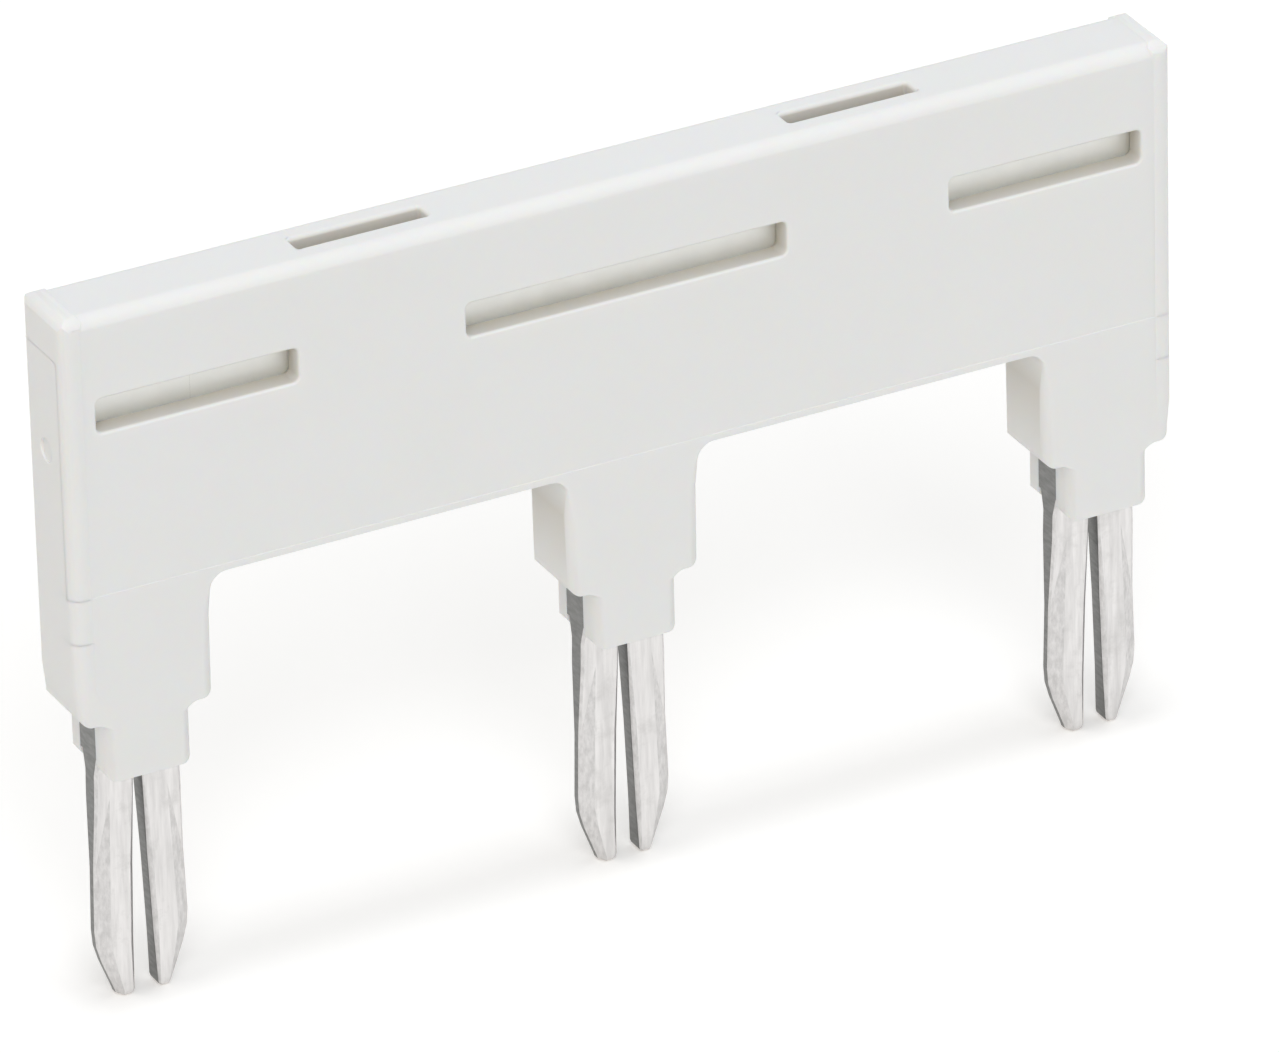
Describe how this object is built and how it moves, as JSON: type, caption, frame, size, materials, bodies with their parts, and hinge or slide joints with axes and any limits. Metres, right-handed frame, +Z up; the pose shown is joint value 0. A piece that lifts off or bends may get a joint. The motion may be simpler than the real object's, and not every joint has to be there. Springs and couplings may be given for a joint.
{
  "type": "relay socket jumper bar",
  "caption": "Flat moulded jumper bar with split metal contact forks below, for linking neighbouring relay sockets of a terminal row.",
  "frame": {"origin": "middle of the plan, level with the tips of the contact forks", "axes": "+X along the bar, +Y through its thickness, +Z up from the fork tips to the top of the bar"},
  "size_m": [0.0342, 0.0024, 0.0216],
  "materials": {
    "moulded_plastic": "light grey moulded thermoplastic, fine satin",
    "tinned_copper": "bright tin plating over stamped copper alloy"
  },
  "bodies": {
    "root": {"insulating_housing": "moulded_plastic", "contact_comb": "tinned_copper"}
  },
  "joints": []
}
